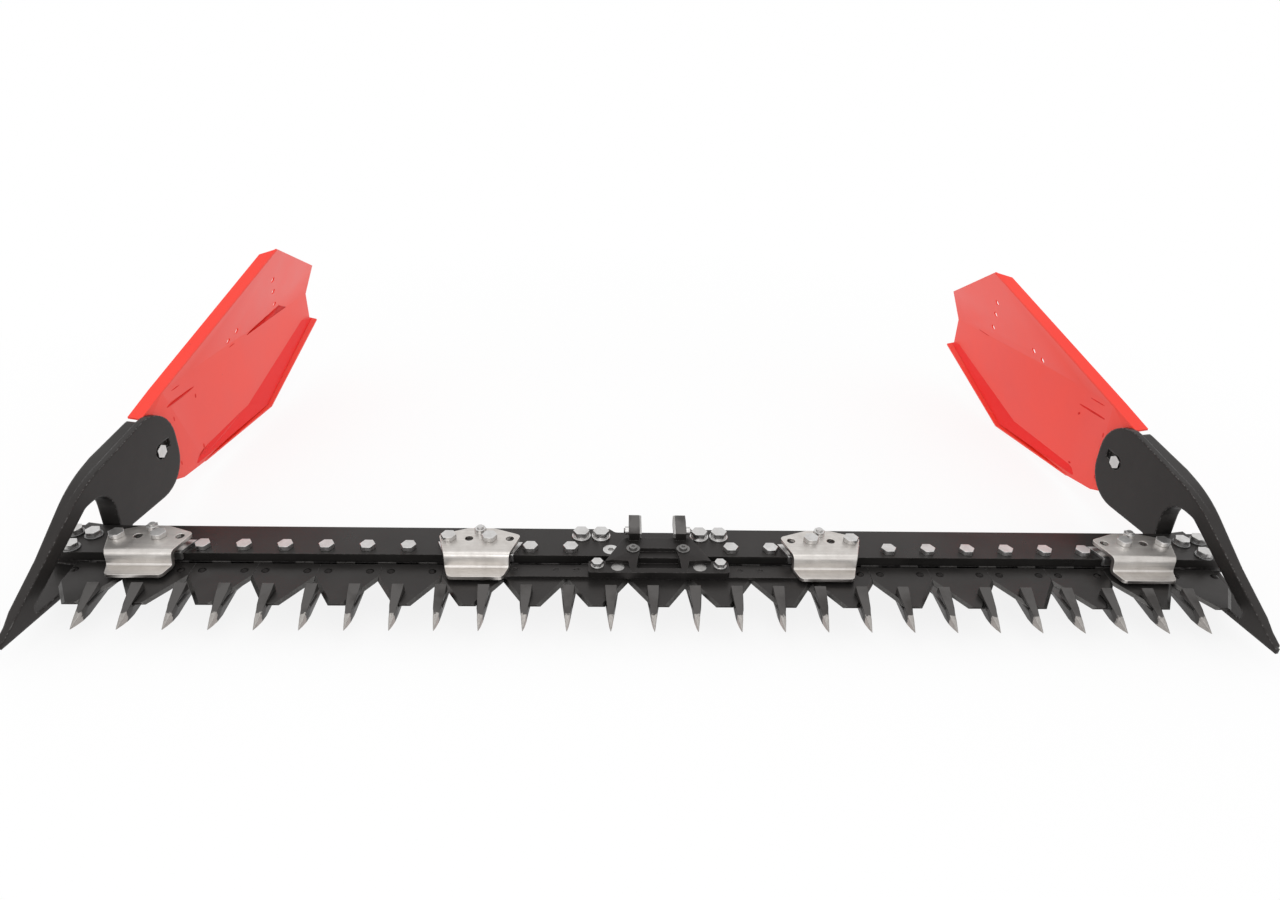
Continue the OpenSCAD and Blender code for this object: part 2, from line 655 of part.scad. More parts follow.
board_holes = [[469.4, 181], [485.6, 155], [507, 124.4], [375.9, 131.4], [353.5, 124]];

module board_shape() {
    side = [board_thickness, 0, 0];
    up = [0, 0, board_thickness];
    out = [lip_top, 0, 3];
    low = [-14, 4, -5];
    difference() {
        union() {
            thick_sheet(skin, facets, [for (i = [12 : -1 : 0]) i], side);
            lip(skin[0], skin[1], out, 1, 0, -up);
            lip(skin[1], skin[2], out, 1, 0.06, -up);
            lip(skin[7] + side, skin[6] + side, low, 0.2, 0, up);
            lip(skin[6] + side, skin[5] + side, low, 1, 0, up);
        }
        for (p = board_holes) translate([0, p[0], p[1]]) rotate([0, 90, 0]) cylinder(h = 900, r = 4.5);
        translate([shoe_x, row_y, 0]) rotate([0, 0, toe_in]) translate([0, pivot_u, pivot_z])
            rotate([0, 90, 0]) cylinder(h = 40, r = bolt_r + pivot_gap);
    }
}

// Board turned about its pivot bolt, rear end up by a degrees
module lifted(a) {
    translate([shoe_x, row_y, 0]) rotate([0, 0, toe_in]) translate([0, pivot_u, pivot_z]) rotate([a, 0, 0])
        translate([0, -pivot_u, -pivot_z]) rotate([0, 0, -toe_in]) translate([-shoe_x, -row_y, 0]) children();
}

module board_right() { color(red) lifted(right_lift) board_shape(); }
module board_left() { color(red) mirror([1, 0, 0]) lifted(left_lift) board_shape(); }

// Places the pivot hardware of both shoes, bolt axis along Z, head side at z = 0
module at_pivots() {
    for (s = [0, 1]) mirror([s, 0, 0]) translate([shoe_x, row_y, 0]) rotate([0, 0, toe_in])
        translate([0, pivot_u, pivot_z]) rotate([0, 90, 0]) children();
}

pivot_stack = web_thickness + board_thickness + 0.6;

module pivot_bolts() {
    color(zinc) at_pivots() translate([0, 0, 5]) mirror([0, 0, 1]) bolt(17, 6.4, bolt_r, pivot_stack + 8);
}

module pivot_washers() {
    color(zinc) at_pivots() translate([0, 0, pivot_stack]) washer(11, 2, bolt_r);
}

module pivot_nuts() {
    color(zinc) at_pivots() translate([0, 0, pivot_stack + 2 + 8]) nut(17, 8, bolt_r);
}

cutter_bar();
guard_fingers();
finger_bolts();
clip_bolts();
finger_screws();
finger_nuts();
carrier_bolts();
carrier_washers();
clip_1();
clip_2();
clip_3();
clip_4();
wear_plate_1();
wear_plate_2();
wear_plate_3();
wear_plate_4();
clip_spacers();
clip_adjusters();
clip_locknuts();
knife_back();
knife_sections();
section_rivets();
knife_strip();
drive_head();
head_rivets();
head_bolts();
head_washers();
foot_screws();
foot_washers();
fork_plate_left();
fork_plate_right();
fork_bolts();
fork_nuts();
shoe_left();
shoe_right();
shoe_bolts();
shoe_washers();
shoe_nuts();
board_left();
board_right();
pivot_bolts();
pivot_washers();
pivot_nuts();
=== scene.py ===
"""Sickle bar for a two-wheel tractor: finishes, fine shapes, floor, lights and camera around its solids."""
import json
import math

import bmesh
import bpy
from mathutils import Matrix, Vector
from mathutils.bvhtree import BVHTree


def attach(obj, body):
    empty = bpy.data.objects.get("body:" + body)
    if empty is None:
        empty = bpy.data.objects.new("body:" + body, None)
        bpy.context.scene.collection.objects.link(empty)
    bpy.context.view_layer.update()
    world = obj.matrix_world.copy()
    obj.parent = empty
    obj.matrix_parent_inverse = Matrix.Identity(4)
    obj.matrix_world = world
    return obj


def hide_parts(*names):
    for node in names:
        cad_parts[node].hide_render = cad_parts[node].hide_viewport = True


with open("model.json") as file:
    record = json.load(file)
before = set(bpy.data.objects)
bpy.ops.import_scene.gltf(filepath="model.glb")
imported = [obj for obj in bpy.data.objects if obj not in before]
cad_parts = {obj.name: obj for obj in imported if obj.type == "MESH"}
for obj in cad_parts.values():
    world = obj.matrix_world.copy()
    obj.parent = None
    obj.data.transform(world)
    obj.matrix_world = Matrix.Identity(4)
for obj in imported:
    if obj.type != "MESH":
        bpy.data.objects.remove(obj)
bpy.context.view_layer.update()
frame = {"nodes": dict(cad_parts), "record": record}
scene = bpy.context.scene
MM = 0.001

# Tip of the guard fingers and sole of the shoes, in millimetres
TIP_Y = -161.5
SOLE_Z = -48.0


# Shader nodes

def put(tree, socket, value):
    """Links a socket to another one, or sets its value."""
    if isinstance(value, bpy.types.NodeSocket):
        tree.links.new(value, socket)
    else:
        socket.default_value = value


def node(tree, kind, inputs=None, **props):
    """A shader node with its inputs set to values or linked to sockets."""
    made = tree.nodes.new("ShaderNode" + kind)
    for name, value in props.items():
        setattr(made, name, value)
    for name, value in (inputs or {}).items():
        put(tree, made.inputs[name], value)
    return made


def maths(tree, operation, a, b=0.0, clamp=False):
    return node(tree, "Math", {0: a, 1: b}, operation=operation, use_clamp=clamp).outputs[0]


def span(tree, value, low, high, to_low=0.0, to_high=1.0):
    """Value stretched from low..high to to_low..to_high, held at the ends."""
    return node(tree, "MapRange", {"Value": value, "From Min": low, "From Max": high,
                                   "To Min": to_low, "To Max": to_high}).outputs["Result"]


def blend_colour(tree, mask, first, second, share=None):
    """First colour where the mask is 0 and second where it is 1, or only a share of the second."""
    if share is not None:
        mask = maths(tree, "MULTIPLY", mask, share)
    return node(tree, "Mix", {0: mask, 6: first, 7: second}, data_type="RGBA").outputs[2]


def place(tree):
    return node(tree, "TexCoord").outputs["Object"]


def axis_place(tree, axis):
    return node(tree, "SeparateXYZ", {0: place(tree)}).outputs[axis]


def noise(tree, spot, scale, detail, **more):
    return node(tree, "TexNoise", {"Vector": spot, "Scale": scale, "Detail": detail, **more}).outputs["Fac"]


def stretched(tree, stretch):
    return node(tree, "VectorMath", {0: place(tree), 1: stretch}, operation="MULTIPLY").outputs[0]


def rounded_normal(tree, radius):
    return node(tree, "Bevel", {"Radius": radius}, samples=6).outputs[0]


# Effects that several finishes share

def new_group(name, inputs, outputs):
    """A node group with named inputs and their start values, and named outputs, which are all values."""
    tree = bpy.data.node_groups.new(name, "ShaderNodeTree")
    for label, start in inputs.items():
        kind = "NodeSocketVector" if isinstance(start, tuple) else "NodeSocketFloat"
        tree.interface.new_socket(name=label, in_out="INPUT", socket_type=kind).default_value = start
    for label in outputs:
        tree.interface.new_socket(name=label, in_out="OUTPUT", socket_type="NodeSocketFloat")
    given = tree.nodes.new("NodeGroupInput")
    result = tree.nodes.new("NodeGroupOutput")
    return tree, given.outputs, result.inputs


def use(tree, group, **inputs):
    """Places a node group in a material."""
    return node(tree, "Group", inputs, node_tree=group).outputs


def make_edge_wear():
    """Mask of the outer edges, broken up by noise."""
    tree, given, result = new_group(
        "edge wear", {"Radius": 0.001, "Low": 0.02, "High": 0.2, "Breakup": 300.0, "Cover": 0.5}, ["Mask"])
    rounded = rounded_normal(tree, given["Radius"])
    flat = node(tree, "NewGeometry").outputs["Normal"]
    match = node(tree, "VectorMath", {0: rounded, 1: flat}, operation="DOT_PRODUCT").outputs["Value"]
    edge = span(tree, maths(tree, "SUBTRACT", 1.0, match), given["Low"], given["High"])
    cloud = noise(tree, place(tree), given["Breakup"], detail=4.0)
    patch = span(tree, maths(tree, "ADD", cloud, maths(tree, "SUBTRACT", given["Cover"], 0.5)), 0.42, 0.6)
    put(tree, result["Mask"], maths(tree, "MULTIPLY", edge, patch, clamp=True))
    return tree


def make_mottle():
    """Soft uneven cloud from 0 to 1, for colour and gloss that vary over a surface."""
    tree, given, result = new_group(
        "mottle", {"Scale": 20.0, "Stretch": (1.0, 1.0, 1.0), "Low": 0.35, "High": 0.65, "Detail": 4.0},
        ["Mask"])
    cloud = noise(tree, stretched(tree, given["Stretch"]), given["Scale"], given["Detail"], Roughness=0.6)
    put(tree, result["Mask"], span(tree, cloud, given["Low"], given["High"]))
    return tree


def make_grain():
    """Height of a skin: a fine grain over a coarser swell."""
    tree, given, result = new_group("grain", {"Fine": 1500.0, "Coarse": 250.0, "Share": 0.5}, ["Height"])
    fine = noise(tree, place(tree), given["Fine"], detail=2.0)
    coarse = noise(tree, place(tree), given["Coarse"], detail=3.0)
    put(tree, result["Height"], node(tree, "Mix", {0: given["Share"], 2: fine, 3: coarse}).outputs[0])
    return tree


def make_brushed():
    """Long fine lines, as rolling or grinding leaves them."""
    tree, given, result = new_group(
        "brushed", {"Stretch": (6.0, 900.0, 900.0), "Low": 0.3, "High": 0.7}, ["Mask", "Height"])
    lines = noise(tree, stretched(tree, given["Stretch"]), scale=1.0, detail=5.0, Roughness=0.7)
    put(tree, result["Mask"], span(tree, lines, given["Low"], given["High"]))
    put(tree, result["Height"], lines)
    return tree


def make_specks():
    """Small scattered marks, such as scuffs, chips and plating spots."""
    tree, given, result = new_group("specks", {"Scale": 300.0, "Size": 0.2, "Share": 0.3}, ["Mask"])
    cells = node(tree, "TexVoronoi", {"Vector": place(tree), "Scale": given["Scale"]}).outputs
    dot = span(tree, cells["Distance"], given["Size"], 0.0)
    pick = node(tree, "SeparateColor", {0: cells["Color"]}).outputs[0]
    kept = maths(tree, "LESS_THAN", pick, given["Share"])
    put(tree, result["Mask"], maths(tree, "MULTIPLY", dot, kept, clamp=True))
    return tree


def make_dust_and_top_shading():
    """Mask of faces that look up, with a cloudy edge: where dust and light oil settle, and where light and
    shade are painted on the tops.
    """
    tree, given, result = new_group("up_facing", {"Scale": 25.0, "Amount": 0.5}, ["Mask"])
    up = node(tree, "SeparateXYZ", {0: node(tree, "NewGeometry").outputs["Normal"]}).outputs["Z"]
    cloud = span(tree, noise(tree, place(tree), given["Scale"], detail=6.0), 0.35, 0.75)
    lying = maths(tree, "MULTIPLY", span(tree, up, 0.3, 1.0), cloud)
    put(tree, result["Mask"], maths(tree, "MULTIPLY", lying, given["Amount"], clamp=True))
    return tree


EDGE_WEAR = make_edge_wear()
MOTTLE = make_mottle()
GRAIN = make_grain()
BRUSHED = make_brushed()
SPECKS = make_specks()
DUST_AND_TOP_SHADING = make_dust_and_top_shading()


# Finishes

def new_material(name):
    material = bpy.data.materials.new(name)
    material.use_nodes = True
    tree = material.node_tree
    return material, tree, tree.nodes["Principled BSDF"]


def feed(tree, shader, **sockets):
    """Sets or links the shader's own sockets; underscores stand for spaces."""
    for name, value in sockets.items():
        put(tree, shader.inputs[name.replace("_", " ")], value)


def bump(tree, height, strength, depth, normal=None):
    made = node(tree, "Bump", {"Height": height, "Strength": strength, "Distance": depth})
    if normal:
        put(tree, made.inputs["Normal"], normal)
    return made.outputs[0]


def grey(level, warm=0.0):
    return (level * (1.0 + warm), level, level * (1.0 - warm), 1.0)


# Length of the bare finger tips, of the fade into the paint and of its ragged border, in millimetres
BARE_LENGTH, BARE_FADE, BARE_RAGGED = 24.0, 1.5, 5.0
# Half the height over which the painted highlight on the tops sets in, in millimetres
TOP_LIGHT_FADE = 2.0
# How warm the black paints are, the deeper red painted as shade on the boards' tops, and the reds of rubbed
# edges and scuffs
BLACK_WARM = 0.05
SHADED_TOP_RED, EDGE_RED, SCUFF_RED = (0.80, 0.016, 0.009, 1.0), (0.30, 0.02, 0.02, 1.0), (0.40, 0.02, 0.02, 1.0)


def paint_top_light(tree, colour, level, height):
    """Painted highlight: a lighter grey on the faces that look up, from a height in millimetres up."""
    above = span(tree, axis_place(tree, "Z"), (height - TOP_LIGHT_FADE) * MM, (height + TOP_LIGHT_FADE) * MM)
    thin = maths(tree, "MULTIPLY", use(tree, DUST_AND_TOP_SHADING, Scale=20.0, Amount=2.6)["Mask"], above)
    return blend_colour(tree, thin, colour, grey(level, warm=0.03))


def bare_tip(tree, colour, gloss):
    """Steel ground bare at the finger tips: the new colour, the new gloss and the mask of the bare steel."""
    ragged = use(tree, MOTTLE, Scale=260.0, Low=0.3, High=0.7)["Mask"]
    border = maths(tree, "ADD", axis_place(tree, "Y"), maths(tree, "MULTIPLY", ragged, BARE_RAGGED * MM))
    end = TIP_Y + BARE_LENGTH
    tip = span(tree, border, end * MM, (end + BARE_FADE) * MM, 1.0, 0.0)
    ground = use(tree, BRUSHED, Stretch=(900.0, 60.0, 900.0))["Mask"]
    steel = blend_colour(tree, ground, grey(0.26, warm=0.05), grey(0.44, warm=0.05))
    bare_gloss = node(tree, "Mix", {0: tip, 2: gloss, 3: 0.42}).outputs[0]
    return blend_colour(tree, tip, colour, steel), bare_gloss, tip


def black_paint(name, level, rough, grain_depth, wear, dust=0.35, fine=1400.0, coarse=220.0, bare=False,
                sheen=0.3, rub_and_highlight=(0.0014, 0.6), rubbed=0.12, top_light=None, soft=0.0008):
    """Black coated steel: cloudy gloss, a light skin, edges rubbed to grey and a little dust on the tops.

    rub_and_highlight gives the width and strength of the rubbed edges and rubbed their grey, which on
    the shoes' rims are partly a painted highlight along the ridge; top_light gives the lighter grey
    painted as a highlight on the faces that look up and the height that it starts at; and soft the
    radius to which forging or casting rounds the edges.
    """
    material, tree, shader = new_material(name)
    cloud = use(tree, MOTTLE, Scale=14.0)["Mask"]
    streak = use(tree, MOTTLE, Scale=45.0, Stretch=(0.25, 1.0, 1.0))["Mask"]
    colour = blend_colour(tree, cloud, grey(level * 0.82, BLACK_WARM), grey(level * 1.18, BLACK_WARM))
    colour = blend_colour(tree, streak, colour, grey(level * 1.7, BLACK_WARM), share=0.25)
    up_facing = use(tree, DUST_AND_TOP_SHADING, Amount=dust)["Mask"]
    colour = blend_colour(tree, up_facing, colour, grey(level * 2.1, BLACK_WARM))
    # Painted highlight: the faces that look up are painted a lighter grey, from a given height up
    if top_light:
        colour = paint_top_light(tree, colour, *top_light)
    # Rubbed edges are wear; where they are wide and strong, as on the shoes' rims, they are partly a painted
    # highlight along the ridge
    edges = use(tree, EDGE_WEAR, Radius=rub_and_highlight[0], Cover=wear)["Mask"]
    chips = use(tree, SPECKS, Scale=130.0, Size=0.12, Share=0.05)["Mask"]
    marks = maths(tree, "MAXIMUM", edges, maths(tree, "MULTIPLY", chips, 0.5))
    colour = blend_colour(tree, marks, colour, grey(rubbed, warm=0.02), share=rub_and_highlight[1])
    gloss = span(tree, cloud, 0.0, 1.0, rough - 0.06, rough + 0.07)
    if bare:
        colour, gloss, tip = bare_tip(tree, colour, gloss)
        feed(tree, shader, Metallic=tip)
    skin = use(tree, GRAIN, Fine=fine, Coarse=coarse)["Height"]
    normal = bump(tree, skin, strength=0.35, depth=grain_depth, normal=rounded_normal(tree, soft))
    feed(tree, shader, Base_Color=colour, Roughness=gloss, Specular_IOR_Level=sheen,
         Specular_Tint=(1.0, 0.90, 0.88, 1.0), Normal=normal)
    return material


def red_paint(name, thin, thick, shine, coat):
    """Glossy red powder coat on sheet steel, with a fine orange peel, rubbed edges and a deeper red painted
    as shade on the faces that look up.
    """
    material, tree, shader = new_material(name)
    cloud = use(tree, MOTTLE, Scale=6.0, Low=0.3, High=0.7)["Mask"]
    colour = blend_colour(tree, cloud, thin, thick)
    # Painted shade: the faces that look up are painted a deeper red
    shaded_tops = use(tree, DUST_AND_TOP_SHADING, Scale=12.0, Amount=0.8)["Mask"]
    colour = blend_colour(tree, shaded_tops, colour, SHADED_TOP_RED)
    edges = use(tree, EDGE_WEAR, Radius=0.0012, Cover=0.42)["Mask"]
    colour = blend_colour(tree, edges, colour, EDGE_RED, share=0.35)
    scuffs = use(tree, SPECKS, Scale=60.0, Size=0.1, Share=0.05)["Mask"]
    colour = blend_colour(tree, scuffs, colour, SCUFF_RED, share=0.5)
    gloss = span(tree, cloud, 0.0, 1.0, 0.30, 0.42)
    peel = use(tree, GRAIN, Fine=700.0, Coarse=180.0, Share=0.6)["Height"]
    feed(tree, shader, Base_Color=colour, Roughness=gloss, Specular_IOR_Level=shine, Coat_Weight=coat,
         Coat_Roughness=0.16, Normal=bump(tree, peel, strength=0.22, depth=0.0003))
    return material


def shaded_mark_red(name):
    """Painted shade: the same red, darker and duller, for the marks on the boards."""
    material, tree, shader = new_material(name)
    cloud = use(tree, MOTTLE, Scale=60.0)["Mask"]
    colour = blend_colour(tree, cloud, (0.60, 0.014, 0.011, 1.0), (0.76, 0.020, 0.015, 1.0))
    feed(tree, shader, Base_Color=colour, Roughness=0.6, Specular_IOR_Level=0.15)
    return material


def plated(name, low, high, rough, stretch, warm=0.0, edge_level=0.8, spots=0.5):
    """Bare or plated steel with fine lines, cloudy plating, bright edges and a few dull spots."""
    material, tree, shader = new_material(name)
    brushed = use(tree, BRUSHED, Stretch=stretch)
    cloud = use(tree, MOTTLE, Scale=70.0)["Mask"]
    colour = blend_colour(tree, brushed["Mask"], grey(low, warm), grey(high, warm))
    colour = blend_colour(tree, cloud, colour, grey(low * 0.8, warm + 0.02), share=0.45)
    dull = use(tree, SPECKS, Scale=420.0, Size=0.3, Share=0.12)["Mask"]
    colour = blend_colour(tree, dull, colour, grey(0.3, warm), share=spots)
    edges = use(tree, EDGE_WEAR, Radius=0.0008, Cover=0.6)["Mask"]
    colour = blend_colour(tree, edges, colour, grey(edge_level, warm), share=0.7)
    gloss = span(tree, maths(tree, "ADD", brushed["Mask"], cloud), 0.0, 2.0, rough - 0.08, rough + 0.12)
    feed(tree, shader, Base_Color=colour, Roughness=gloss, Metallic=1.0,
         Normal=bump(tree, brushed["Height"], strength=0.12, depth=0.0002))
    return material


FINISHES = {
    "bar_black": black_paint("bar black", level=0.011, rough=0.33, grain_depth=0.0002, wear=0.45),
    # The fingers get a painted highlight: a lighter grey on the faces that look up
    "finger_black": black_paint("finger black", level=0.026, rough=0.40, grain_depth=0.0005, wear=0.55,
                                fine=900.0, coarse=160.0, bare=True, top_light=(0.07, -60.0), soft=0.0015),
    # The shoes' wide, strong rubbed rims are partly scuffs and partly a painted highlight along the ridge
    "shoe_black": black_paint("shoe black", level=0.013, rough=0.38, grain_depth=0.0004, wear=0.45,
                              fine=800.0, coarse=120.0, rub_and_highlight=(0.003, 0.8), rubbed=0.2, soft=0.004),
    # The head gets a painted highlight: a lighter grey on the prong tops, from 26 mm up
    "head_black": black_paint("head black", level=0.008, rough=0.40, grain_depth=0.0005, wear=0.50,
                              fine=900.0, coarse=150.0, top_light=(0.10, 26.0)),
    "knife_steel": black_paint("knife black", level=0.013, rough=0.34, grain_depth=0.0002, wear=0.55),
    "red_paint": red_paint("red board paint", thin=(0.83, 0.030, 0.012, 1.0),
                           thick=(0.90, 0.042, 0.017, 1.0), shine=0.42, coat=0.18),
    "galvanised": plated("galvanised clip", low=0.54, high=0.70, rough=0.36, stretch=(8.0, 700.0, 700.0),
                         warm=0.045),
    "zinc": plated("zinc plate", low=0.58, high=0.70, rough=0.34, stretch=(300.0, 300.0, 40.0),
                   warm=0.01, spots=0.1),
    "rivet_steel": plated("rivet steel", low=0.30, high=0.42, rough=0.42, stretch=(400.0, 400.0, 80.0),
                          warm=0.02, edge_level=0.55),
    "dark_steel": plated("dark steel", low=0.18, high=0.28, rough=0.42, stretch=(60.0, 600.0, 600.0),
                         warm=0.02, edge_level=0.45),
}

# Pieces that look unlike the rest of their slot
OWN_FINISH = {
    "section_rivets": black_paint("rivet black", level=0.003, rough=0.30, grain_depth=0.0002, wear=0.30,
                                  dust=0.1, sheen=0.2),
    "shoe_washers": plated("dull washer", low=0.24, high=0.36, rough=0.42, stretch=(300.0, 300.0, 40.0),
                           edge_level=0.5, spots=0.1),
}

# Finishes of the ground flanks, the press marks and the folds that are made below; the marks and the folds
# get darker, duller copies of the red as painted shade
GROUND_EDGE = plated("ground edge", low=0.06, high=0.11, rough=0.36, stretch=(500.0, 500.0, 500.0),
                     warm=0.03, edge_level=0.3)
SHADED_MARK_RED = shaded_mark_red("pressed mark red in painted shade")
# Painted shade: the lower folds get a deeper, less glossy red than the boards
SHADED_FOLD_RED = red_paint("red fold paint in painted shade", thin=(0.80, 0.012, 0.010, 1.0), thick=(0.86, 0.018, 0.014, 1.0),
                     shine=0.2, coat=0.04)

SLOT_OF = {row["node"]: row["material_slot"] for row in frame["record"]["subparts"]}
for name, part in frame["nodes"].items():
    for holder in part.material_slots:
        holder.material = OWN_FINISH.get(name) or FINISHES[SLOT_OF[name]]


# Broken edges

def make_all_smooth():
    """Geometry nodes that shade every face smooth and leave the mesh itself alone."""
    tree = bpy.data.node_groups.new("all smooth", "GeometryNodeTree")
    for way in ("INPUT", "OUTPUT"):
        tree.interface.new_socket(name="Geometry", in_out=way, socket_type="NodeSocketGeometry")
    given = tree.nodes.new("NodeGroupInput")
    result = tree.nodes.new("NodeGroupOutput")
    smooth = tree.nodes.new("GeometryNodeSetShadeSmooth")
    tree.links.new(given.outputs[0], smooth.inputs["Geometry"])
    tree.links.new(smooth.outputs[0], result.inputs[0])
    return tree


ALL_SMOOTH = make_all_smooth()


def break_edges(piece, width, segments, angle):
    """Rounds the edges that turn by more than an angle in degrees, to a width in millimetres."""
    edge = piece.modifiers.new("broken edge", "BEVEL")
    edge.width = width * MM
    edge.segments = segments
    edge.limit_method = "ANGLE"
    edge.angle_limit = math.radians(angle)
    edge.use_clamp_overlap = True


def even_shading(piece):
    """Keeps the large faces flat next to their rounded edges."""
    shade = piece.modifiers.new("shading", "WEIGHTED_NORMAL")
    shade.mode = "FACE_AREA"
    shade.weight = 60


# Corners closer than this, in metres, are joined, and faces within this angle, in degrees, made one
JOIN_WITHIN, FLAT_WITHIN = 1e-6, 0.4


def soften_edges(name, width, segments, angle):
    """Breaks the sharp edges of a CAD node, as deburring, casting or coating leaves them."""
    part = frame["nodes"][name]
    weld = part.modifiers.new("joined", "WELD")
    weld.merge_threshold = JOIN_WITHIN
    plane = part.modifiers.new("whole faces", "DECIMATE")
    plane.decimate_type = "DISSOLVE"
    plane.angle_limit = math.radians(FLAT_WITHIN)
    break_edges(part, width, segments, angle)
    part.modifiers.new("smooth", "NODES").node_group = ALL_SMOOTH
    even_shading(part)


EDGE_WIDTHS = {
    "cutter_bar": 0.5, "drive_head": 1.0, "shoe_left": 1.6, "shoe_right": 1.6,
    "board_left": 0.9, "board_right": 0.9, "knife_strip": 0.5, "knife_back": 0.4,
    "clip_1": 0.6, "clip_2": 0.6, "clip_3": 0.6, "clip_4": 0.6,
    "wear_plate_1": 0.4, "wear_plate_2": 0.4, "wear_plate_3": 0.4, "wear_plate_4": 0.4,
    "fork_plate_left": 0.4, "fork_plate_right": 0.4,
}
for name, width in EDGE_WIDTHS.items():
    soften_edges(name, width, segments=2, angle=32.0)

# Turned and pressed fasteners: only their rims are broken, the hex corners stay
RIM_WIDTHS = {
    "finger_bolts": 0.9, "clip_bolts": 0.9, "carrier_bolts": 1.0, "shoe_bolts": 0.9, "head_bolts": 0.7,
    "pivot_bolts": 0.9, "finger_nuts": 0.8, "clip_locknuts": 0.7, "carrier_washers": 0.5,
    "shoe_washers": 0.5, "head_washers": 0.4, "foot_washers": 0.3, "foot_screws": 0.5, "fork_nuts": 0.5,
    "shoe_nuts": 0.7,
}
for name, width in RIM_WIDTHS.items():
    soften_edges(name, width, segments=3, angle=70.0)


# Making new pieces

# Places closer than this, in millimetres, count as the same
NEAR = 0.1


def corners_of(geometry):
    return [item for item in geometry if isinstance(item, bmesh.types.BMVert)]


def everything(shape):
    return shape.verts[:] + shape.edges[:] + shape.faces[:]


def new_piece(name, shape, materials):
    """An object from a finished shape."""
    mesh = bpy.data.meshes.new(name)
    shape.to_mesh(mesh)
    shape.free()
    for material in materials:
        mesh.materials.append(material)
    piece = bpy.data.objects.new(name, mesh)
    scene.collection.objects.link(piece)
    return piece


# Forged fingers, with a rib that falls straight to the tip

FINGER_PITCH, FINGERS_EACH_SIDE = 50.8, 13
# Wing that meets the next finger under the bar's front edge
WING_GAP, WING_DEPTH, WING_HEIGHT, WING_Y, WING_Z = 0.4, 9.0, 9.0, -38.5, -4.5
# Side outline: depth, height and half width, from the tang round the slot, along the rib and back
# under the belly
FINGER_OUTLINE = {
    "tang top": (-17.0, 0.0, 14.5), "bar front": (-43.0, 0.0, 14.5), "pocket rear": (-43.0, -9.0, 14.5),
    "pocket front": (-76.5, -9.0, 13.0), "ledge rear": (-76.5, -3.8, 13.0),
    "ledge middle": (-91.0, -3.8, 9.6),
    "slot low": (-127.5, -3.8, 5.6), "slot high": (-127.5, 0.4, 5.0), "lip low": (-98.0, 0.4, 7.6),
    "lip top": (-98.0, 9.4, 7.0), "rib 1": (-110.0, 5.9, 6.3), "rib 2": (-123.0, 2.2, 5.0),
    "rib 3": (-134.5, -1.2, 3.9), "rib 4": (-146.0, -4.5, 2.7), "tip top": (TIP_Y, -9.0, 0.3),
    "tip low": (TIP_Y, -9.6, 0.3), "belly 1": (-152.0, -12.2, 1.6), "belly 2": (-140.0, -15.2, 2.6),
    "belly 3": (-126.0, -16.8, 3.2), "belly 4": (-105.0, -16.0, 3.6), "belly 5": (-82.0, -14.8, 4.5),
    "belly 6": (-60.0, -16.5, 6.0), "tang low": (-38.0, -11.0, 14.5), "tang rear": (-17.0, -11.0, 14.5),
}
# Lines across the side that part its faces
FINGER_CREASES = (("pocket rear", "tang low"), ("pocket front", "belly 6"), ("ledge middle", "belly 5"),
                  ("slot low", "belly 3"), ("slot high", "rib 3"), ("rib 3", "belly 2"), ("rib 4", "belly 1"))


def add_finger(shape):
    """One finger at the middle of the bar: half of it drawn out from its outline, then mirrored."""
    middle = [shape.verts.new((0.0, depth, height)) for depth, height, _ in FINGER_OUTLINE.values()]
    raised = bmesh.ops.extrude_face_region(shape, geom=[shape.faces.new(middle)])["geom"]
    cheek = {}
    for name, (depth, height, half) in FINGER_OUTLINE.items():
        spot = Vector((0.0, depth, height))
        cheek[name] = min(corners_of(raised), key=lambda corner: (corner.co - spot).length)
        cheek[name].co.x = half
    inner = [face for face in shape.faces if all(corner.co.x < NEAR for corner in face.verts)]
    bmesh.ops.delete(shape, geom=inner, context="FACES_ONLY")
    for first, second in FINGER_CREASES:
        bmesh.ops.connect_verts(shape, verts=[cheek[first], cheek[second]])
    bmesh.ops.mirror(shape, geom=everything(shape), axis="X", merge_dist=0.01)
    wing = bmesh.ops.create_cube(shape, size=1.0)["verts"]
    bmesh.ops.scale(shape, vec=(FINGER_PITCH - WING_GAP, WING_DEPTH, WING_HEIGHT), verts=wing)
    bmesh.ops.translate(shape, vec=(0.0, WING_Y, WING_Z), verts=wing)
    bmesh.ops.recalc_face_normals(shape, faces=shape.faces)


def make_fingers():
    shape = bmesh.new()
    add_finger(shape)
    one = everything(shape)
    for number in range(1, 2 * FINGERS_EACH_SIDE + 1):
        copied = bmesh.ops.duplicate(shape, geom=one)["geom"]
        bmesh.ops.translate(shape, vec=(number * FINGER_PITCH, 0.0, 0.0), verts=corners_of(copied))
    bmesh.ops.translate(shape, vec=(-FINGERS_EACH_SIDE * FINGER_PITCH, 0.0, 0.0), verts=shape.verts)
    bmesh.ops.scale(shape, vec=(MM, MM, MM), verts=shape.verts)
    piece = new_piece("forged_fingers", shape, [FINISHES["finger_black"]])
    piece.data.shade_smooth()
    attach(piece, "frame")
    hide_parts("guard_fingers")
    break_edges(piece, width=0.9, segments=3, angle=28.0)
    even_shading(piece)


make_fingers()


# Knife sections with ground edges, in millimetres

SECTION_PITCH, SECTIONS_EACH_SIDE = 76.2, 9
# Place of the knife at rest, and half its length
KNIFE_SHIFT, KNIFE_END = 8.5, 715.9
SECTION_REAR, SECTION_NOTCH, SECTION_TIP = -45.5, -78.0, -124.5
SECTION_LOW, SECTION_TOP = -3.4, -0.4
SECTION_GAP, SECTION_TIP_HALF = 0.1, 10.0
# How far the top is ground back at the notch and at the tip
GROUND_NOTCH, GROUND_TIP = 8.3, 5.0


